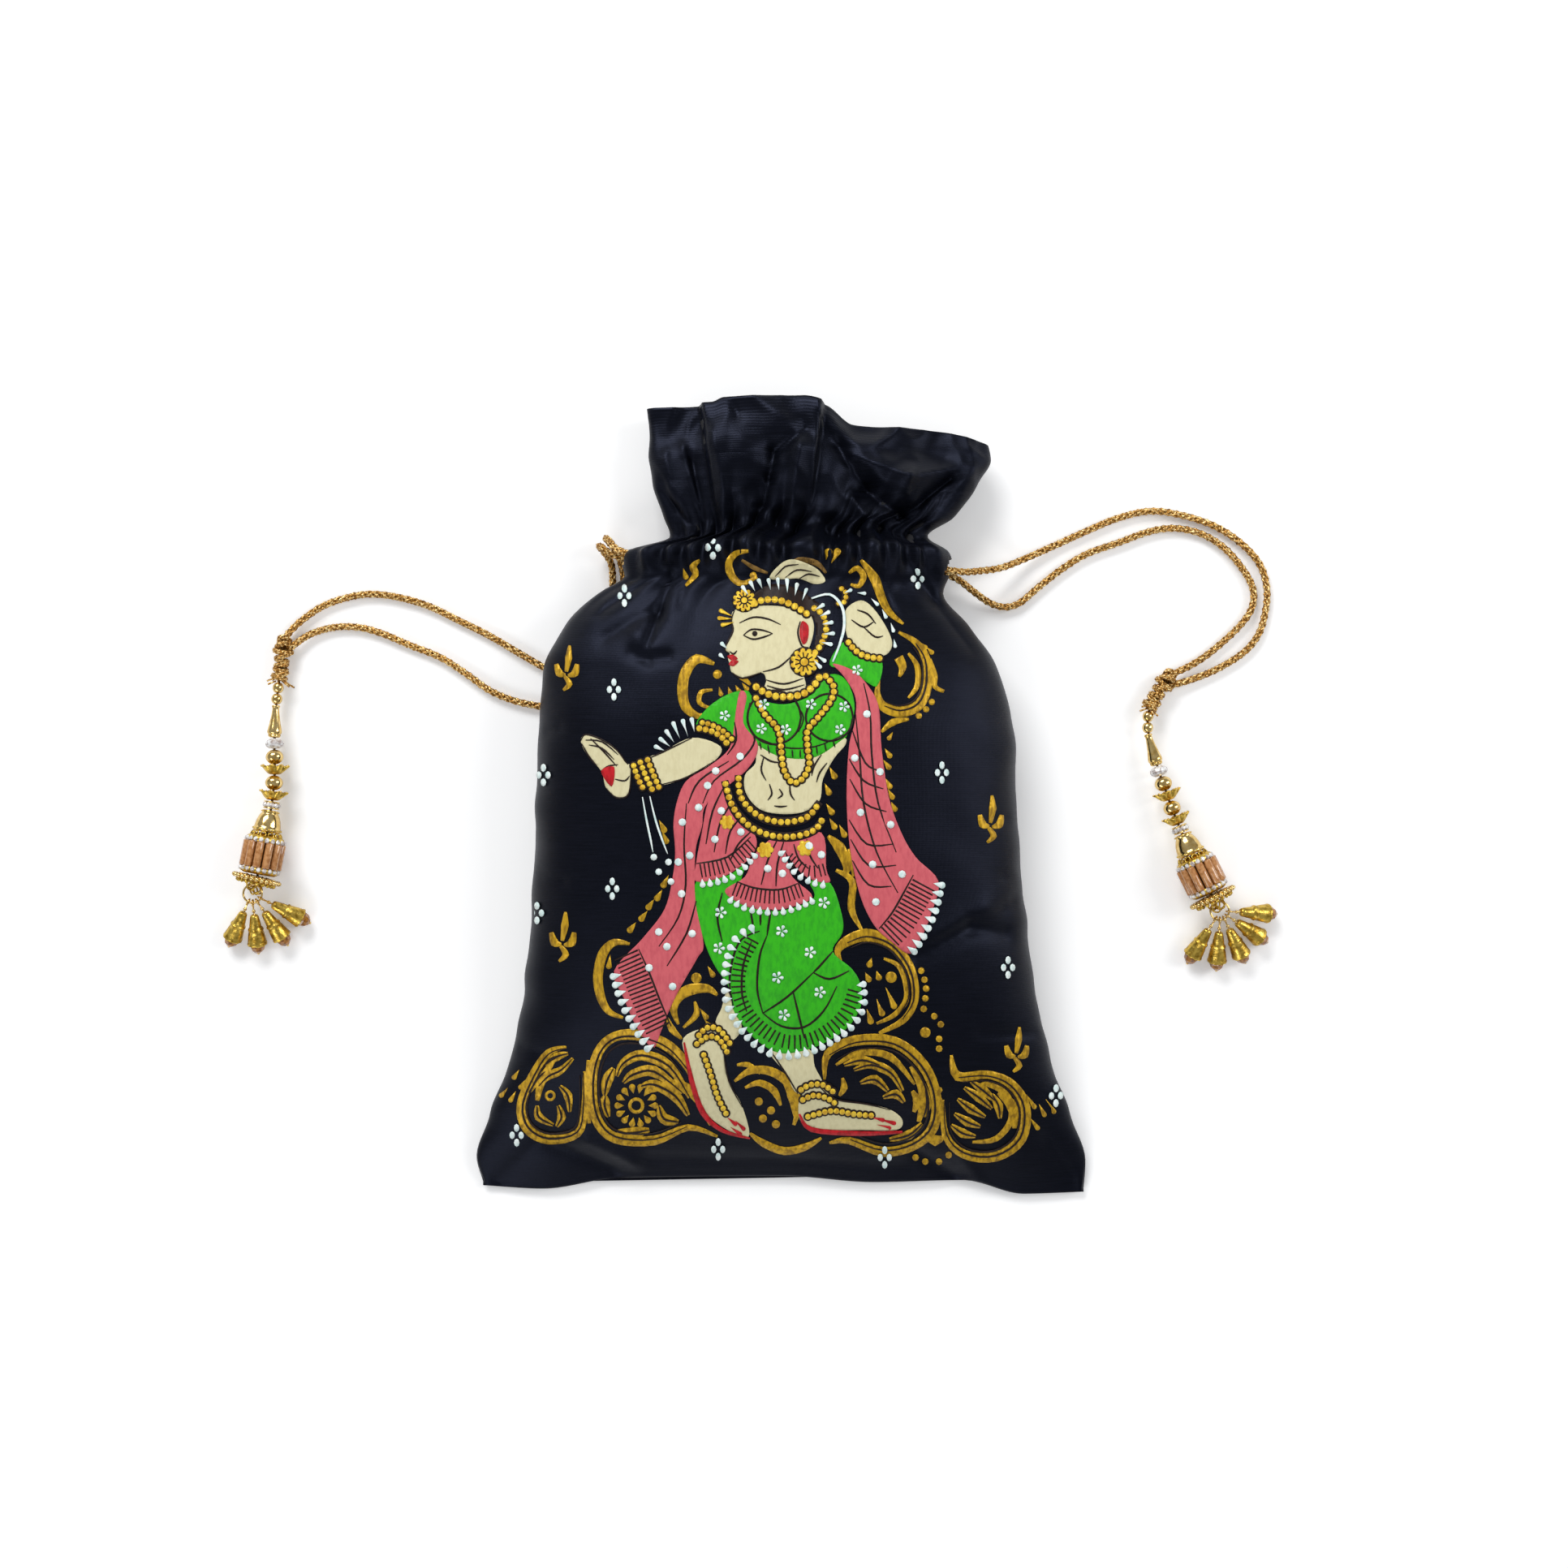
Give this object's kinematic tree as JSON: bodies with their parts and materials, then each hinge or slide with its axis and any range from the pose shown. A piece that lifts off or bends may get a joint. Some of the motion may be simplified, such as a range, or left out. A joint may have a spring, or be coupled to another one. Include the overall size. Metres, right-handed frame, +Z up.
{
  "type": "potli drawstring bag",
  "caption": "Black silk drawstring pouch with a painted front, drawn-in neck with ruffle, gold drawstrings and bead tassels with small bells.",
  "frame": {"origin": "below the middle of the bag's cloth, on the surface it lies on", "axes": "+X across the bag to the right as seen in front, +Y from the bottom seam to the mouth, +Z up through the painted front"},
  "size_m": [0.3065, 0.2284, 0.0364],
  "materials": {
    "silk_taffeta": "satin",
    "lining_cotton": "matte",
    "zari_braid": "metallic",
    "stringing_thread": "matte",
    "polished_gold": "polished",
    "antique_gold": "satin",
    "clear_crystal": "gloss",
    "rose_glass": "gloss",
    "amber_glass": "gloss"
  },
  "bodies": {
    "root": {"outer_bag": "silk_taffeta", "lining": "lining_cotton", "left_string_in_casing": "zari_braid", "left_cord_upper": "zari_braid", "left_cord_lower": "zari_braid", "left_knot": "zari_braid", "left_thread": "stringing_thread", "left_bead_1": "polished_gold", "left_bead_2": "polished_gold", "left_cone": "polished_gold", "left_glass_rondelle": "clear_crystal", "left_bead_3": "polished_gold", "left_flower_cap_1": "antique_gold", "left_bead_4": "polished_gold", "left_flower_cap_2": "antique_gold", "left_stone_rondelle": "clear_crystal", "left_dome": "polished_gold", "left_barrel": "rose_glass", "left_disc": "antique_gold", "left_ring": "polished_gold", "right_string_in_casing": "zari_braid", "right_cord_upper": "zari_braid", "right_cord_lower": "zari_braid", "right_knot": "zari_braid", "right_thread": "stringing_thread", "right_bead_1": "polished_gold", "right_bead_2": "polished_gold", "right_cone": "polished_gold", "right_glass_rondelle": "clear_crystal", "right_bead_3": "polished_gold", "right_flower_cap_1": "antique_gold", "right_bead_4": "polished_gold", "right_flower_cap_2": "antique_gold", "right_stone_rondelle": "clear_crystal", "right_dome": "polished_gold", "right_barrel": "rose_glass", "right_disc": "antique_gold", "right_ring": "polished_gold"},
    "left_bell_1_body": {"left_bell_1": "antique_gold", "left_bell_1_drop": "amber_glass"},
    "left_bell_2_body": {"left_bell_2": "antique_gold", "left_bell_2_drop": "amber_glass"},
    "left_bell_3_body": {"left_bell_3": "antique_gold", "left_bell_3_drop": "amber_glass"},
    "left_bell_4_body": {"left_bell_4": "antique_gold", "left_bell_4_drop": "amber_glass"},
    "right_bell_1_body": {"right_bell_1": "antique_gold", "right_bell_1_drop": "amber_glass"},
    "right_bell_2_body": {"right_bell_2": "antique_gold", "right_bell_2_drop": "amber_glass"},
    "right_bell_3_body": {"right_bell_3": "antique_gold", "right_bell_3_drop": "amber_glass"},
    "right_bell_4_body": {"right_bell_4": "antique_gold", "right_bell_4_drop": "amber_glass"},
    "right_bell_5_body": {"right_bell_5": "antique_gold", "right_bell_5_drop": "amber_glass"}
  },
  "joints": [
    {"name": "left_bell_1_swing", "type": "hinge", "parent": "root", "child": "left_bell_1_body", "pos_m": [-0.15408, -0.02966, 0.00761], "axis": [-0.8829, 0.4695, 0], "range_deg": [0, 60]},
    {"name": "left_bell_2_swing", "type": "hinge", "parent": "root", "child": "left_bell_2_body", "pos_m": [-0.15277, -0.02997, 0.00761], "axis": [-0.9998, -0.0174, 0], "range_deg": [0, 60]},
    {"name": "left_bell_3_swing", "type": "hinge", "parent": "root", "child": "left_bell_3_body", "pos_m": [-0.15146, -0.02961, 0.00761], "axis": [-0.866, -0.5, 0], "range_deg": [0, 60]},
    {"name": "left_bell_4_swing", "type": "hinge", "parent": "root", "child": "left_bell_4_body", "pos_m": [-0.15047, -0.02862, 0.00761], "axis": [-0.5, -0.866, 0], "range_deg": [0, 60]},
    {"name": "right_bell_1_swing", "type": "hinge", "parent": "root", "child": "right_bell_1_body", "pos_m": [0.1253, -0.03463, 0.00765], "axis": [-0.8829, 0.4695, 0], "range_deg": [0, 60]},
    {"name": "right_bell_2_swing", "type": "hinge", "parent": "root", "child": "right_bell_2_body", "pos_m": [0.12659, -0.03495, 0.00765], "axis": [-1, -0.0087, 0], "range_deg": [0, 60]},
    {"name": "right_bell_3_swing", "type": "hinge", "parent": "root", "child": "right_bell_3_body", "pos_m": [0.12788, -0.03461, 0.00765], "axis": [-0.8746, -0.4848, 0], "range_deg": [0, 60]},
    {"name": "right_bell_4_swing", "type": "hinge", "parent": "root", "child": "right_bell_4_body", "pos_m": [0.12885, -0.0337, 0.00765], "axis": [-0.5373, -0.8434, 0], "range_deg": [0, 60]},
    {"name": "right_bell_5_swing", "type": "hinge", "parent": "root", "child": "right_bell_5_body", "pos_m": [0.12926, -0.03243, 0.00765], "axis": [-0.0698, -0.9976, 0], "range_deg": [0, 60]}
  ]
}
